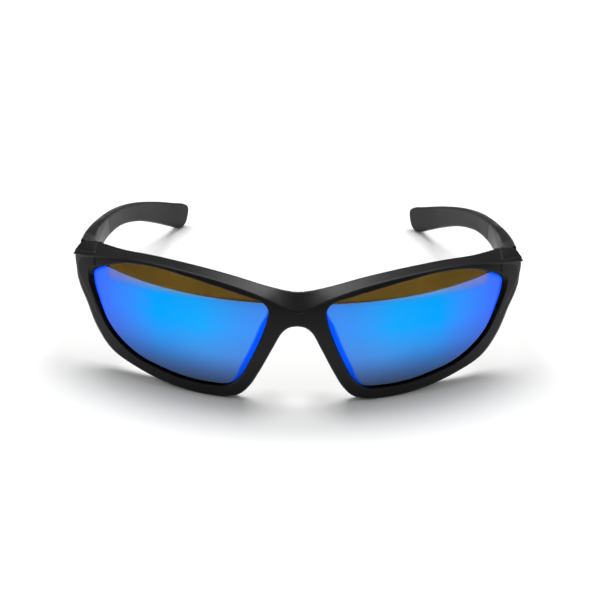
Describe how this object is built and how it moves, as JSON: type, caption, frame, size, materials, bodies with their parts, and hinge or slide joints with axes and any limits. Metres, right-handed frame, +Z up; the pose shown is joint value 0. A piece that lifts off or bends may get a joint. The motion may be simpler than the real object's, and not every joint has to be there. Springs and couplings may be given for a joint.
{
  "type": "wraparound sport sunglasses",
  "caption": "Wraparound sport sunglasses: curved half-covered frame with a sharp brow, blue mirror lenses and folding temples with grip tips.",
  "frame": {"origin": "on the table under the middle of the open sunglasses, which stand on their lower rims and temple tips", "axes": "+X to the wearer's left, across the front; +Y from the lenses back to the temple tips; +Z up from the table"},
  "size_m": [0.1432, 0.1185, 0.0423],
  "materials": {
    "frame_plastic": "fine satin-matte moulded nylon",
    "mirror_lens": "blue mirror coating on an amber-grey tinted lens",
    "soft_rubber": "matte soft rubber",
    "grip_rubber": "matte rubber, slightly duller than the frame",
    "hinge_metal": "black oxide steel",
    "screw_metal": "plain steel, slotted"
  },
  "bodies": {
    "front": {"front_frame": "frame_plastic", "lens_right": "mirror_lens", "nose_pad_right": "soft_rubber", "front_hinge_right": "hinge_metal", "front_hinge_screws_right": "screw_metal", "hinge_screw_right": "screw_metal", "lens_left": "mirror_lens", "nose_pad_left": "soft_rubber", "front_hinge_left": "hinge_metal", "front_hinge_screws_left": "screw_metal", "hinge_screw_left": "screw_metal"},
    "right_temple": {"temple_right": "frame_plastic", "ear_grip_right": "grip_rubber", "temple_hinge_right": "hinge_metal", "temple_hinge_screws_right": "screw_metal"},
    "left_temple": {"temple_left": "frame_plastic", "ear_grip_left": "grip_rubber", "temple_hinge_left": "hinge_metal", "temple_hinge_screws_left": "screw_metal"}
  },
  "joints": [
    {"name": "left_temple_fold", "type": "hinge", "parent": "front", "child": "left_temple", "pos_m": [0.0619, -0.0288, 0.033], "axis": [0, 0.2419, 0.9703], "range_deg": [0, 87]},
    {"name": "right_temple_fold", "type": "hinge", "parent": "front", "child": "right_temple", "pos_m": [-0.0619, -0.0288, 0.033], "axis": [0, -0.2419, -0.9703], "range_deg": [0, 73]}
  ]
}
